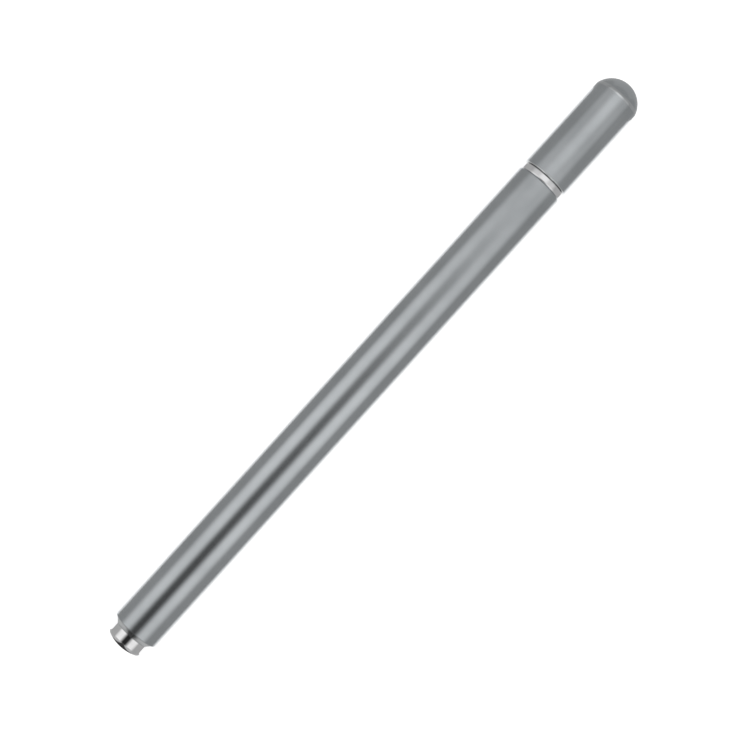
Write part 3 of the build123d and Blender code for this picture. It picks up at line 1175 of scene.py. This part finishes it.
def tent_cloth():
    """The glowing cloth of the tent."""
    made, tree, apart = new_glow("tent_cloth")
    along = apart["X"]
    down = work_out(tree, "ABSOLUTE", work_out(tree, "ARCTAN2", apart["Y"], apart["Z"]))
    beside_pen = spread(tree, down, 0.0, 1.0, GAP_EDGE, CLOTH_HIGH)
    near_table = spread(tree, down, 0.0, 1.0, CLOTH_LOW, math.pi / 2)

    def tones(table, side, overhead):
        upper = blend(tree, beside_pen, grey(overhead), grey(side))
        return blend(tree, near_table, upper, grey(table))

    glow = tones(*TENT_PLACES[0][1:])
    for before, place in zip(TENT_PLACES, TENT_PLACES[1:]):
        share = spread_evenly(tree, along, before[0], place[0])
        glow = blend(tree, share, glow, tones(*place[1:]))
    behind = spread(tree, along, 0.0, 1.0, *TENT_TAIL_FADE)
    for share in (behind, spread(tree, along, 0.0, 1.0, *TENT_CAP_FADE)):
        glow = blend(tree, share, glow, TENT_END)
    low_down = spread(tree, apart["Z"], 1.0, 0.0, *TENT_SKIRT_FADE)
    skirt = work_out(tree, "MULTIPLY", behind, low_down)
    glow_with(tree, blend(tree, skirt, glow, TENT_SKIRT))
    print("cloth nodes", len(tree.nodes))
    return made


tent.data.materials.append(tent_cloth())

# %% [markdown]
# ## Cards
# Against a white table, the sides of bright metal would melt away. A darker table would help, but
# it would be in the picture. Photographers stand grey cards around the metal instead, out of the
# picture, and its edges pick them up as a grey line. A low card runs along each side. One stands
# behind the tail, dark in the middle for the dome of the stub and lighter to the sides for the
# chamfer of the barrel. One stands beyond the cap, far enough off for the cap to be pulled clear.
# A card is a bent line drawn out one way. Each card, with its apron, glows at a set grey tone
# instead of being lit. Cards give no light of their own to the table: they only show in reflections,
# so moving one changes the metal and nothing else.

# %% Stand the cards
CARD_TONE = 0.4
CARD_OFF = 10 * MM
CARD_HEIGHT = 10 * MM
CARD_REACH = 90 * MM
APRON_LIFT = 0.05 * MM
TAIL_DARK = 0.04
TAIL_LIGHT = 0.5
MIDDLE_WIDTH = 2 * MM
SIDES_WIDTH = 6 * MM
TAIL_HALF_WIDTH = 10 * MM
TAIL_HEIGHT = 30 * MM
CAP_TONE = 0.5
CAP_CARD_OFF = 40 * MM
CAP_HALF_WIDTH = 36 * MM
CAP_HEIGHT = 14 * MM


def make_card(name, profile, way, middle, sides):
    """A card bent along a profile and drawn out one way, with a tone in the middle and outside."""
    bm = bmesh.new()
    corners = [bm.verts.new(point) for point in profile]
    draw_out(bm, [bm.edges.new(pair) for pair in zip(corners, corners[1:])], way)
    card = make_object(bm, name)
    made, tree, apart = new_glow(name)
    outside = work_out(tree, "ABSOLUTE", apart["Y"])
    share = spread(tree, outside, 0.0, 1.0, MIDDLE_WIDTH, SIDES_WIDTH)
    # The card glows at these grey tones instead of being lit.
    glow_with(tree, blend(tree, share, grey(middle), grey(sides)))
    card.data.materials.append(made)
    card.visible_diffuse = False
    hide_from_camera(card)
    print(name, "faces", len(card.data.polygons))


def stand_side_card(name, y):
    """A card along one side, from behind the tail to beyond the cap."""
    upright = [(-CARD_REACH, y, CARD_HEIGHT), (-CARD_REACH, y, APRON_LIFT)]
    make_card(name, upright, (CARD_REACH + cap_tip_x + CARD_OFF, 0, 0), CARD_TONE, CARD_TONE)


def stand_end_card(name, far_x, near_x, half_width, height, middle, sides):
    """A card across one end, with an apron from its foot to a place at the pen."""
    bent = [
        (far_x, -half_width, height),
        (far_x, -half_width, APRON_LIFT),
        (near_x, -half_width, APRON_LIFT),
    ]
    make_card(name, bent, (0, 2 * half_width, 0), middle, sides)


stand_side_card("card_left", CARD_OFF)
stand_side_card("card_right", -CARD_OFF)
stand_end_card(
    "card_tail", post_tail_x - CARD_OFF, post_tail_x,
    TAIL_HALF_WIDTH, TAIL_HEIGHT, TAIL_DARK, TAIL_LIGHT,
)
stand_end_card(
    "card_cap", cap_tip_x + CAP_CARD_OFF, cap_crease_x,
    CAP_HALF_WIDTH, CAP_HEIGHT, CAP_TONE, CAP_TONE,
)

# %% [markdown]
# ## Camera
# The photograph looks almost straight down, and the pen crosses it from lower left to upper
# right. The near edges of the ring and the stub bulge outwards, which gives the distance: about
# 32 cm for an 85 mm lens. The tail is a shade larger than the cap, so the lens leans to the tail.
# The camera could be turned by three angles, but building it from its own right, up and back
# directions says plainly which way the pen runs in the picture.

# %% Camera
LENS = 85.0
SENSOR = 36.0
CLIP_START = 10 * MM
IMAGE_SIZE = 750
PIXELS_PER_MM = 5.619
PEN_ANGLE = math.radians(47.86)
LEAN_TO_TAIL = math.radians(1.25)
PEN_ABOVE_MIDDLE = 10.58
PEN_RIGHT_OF_MIDDLE = 0.93

distance = IMAGE_SIZE / PIXELS_PER_MM * MM * LENS / SENSOR
back = Vector((-math.sin(LEAN_TO_TAIL), 0, math.cos(LEAN_TO_TAIL)))
pen_way = Vector((math.cos(LEAN_TO_TAIL), 0, math.sin(LEAN_TO_TAIL)))
across = Vector((0, 1, 0))
right = pen_way * math.cos(PEN_ANGLE) - across * math.sin(PEN_ANGLE)
up = pen_way * math.sin(PEN_ANGLE) + across * math.cos(PEN_ANGLE)
pixel = MM / PIXELS_PER_MM
middle = at(0, 0) - up * PEN_ABOVE_MIDDLE * pixel - right * PEN_RIGHT_OF_MIDDLE * pixel

lens = bpy.data.cameras.new("camera")
lens.lens = LENS
lens.sensor_width = SENSOR
lens.clip_start = CLIP_START
camera = bpy.data.objects.new("camera", lens)
bpy.context.scene.collection.objects.link(camera)
camera.matrix_world = Matrix.LocRotScale(
    middle + back * distance, Matrix((right, up, back)).transposed().to_quaternion(), None
)
bpy.context.scene.camera = camera
bpy.context.scene.view_settings.view_transform = "Standard"
print("camera stands", round(distance / MM, 1), "mm above the pen")
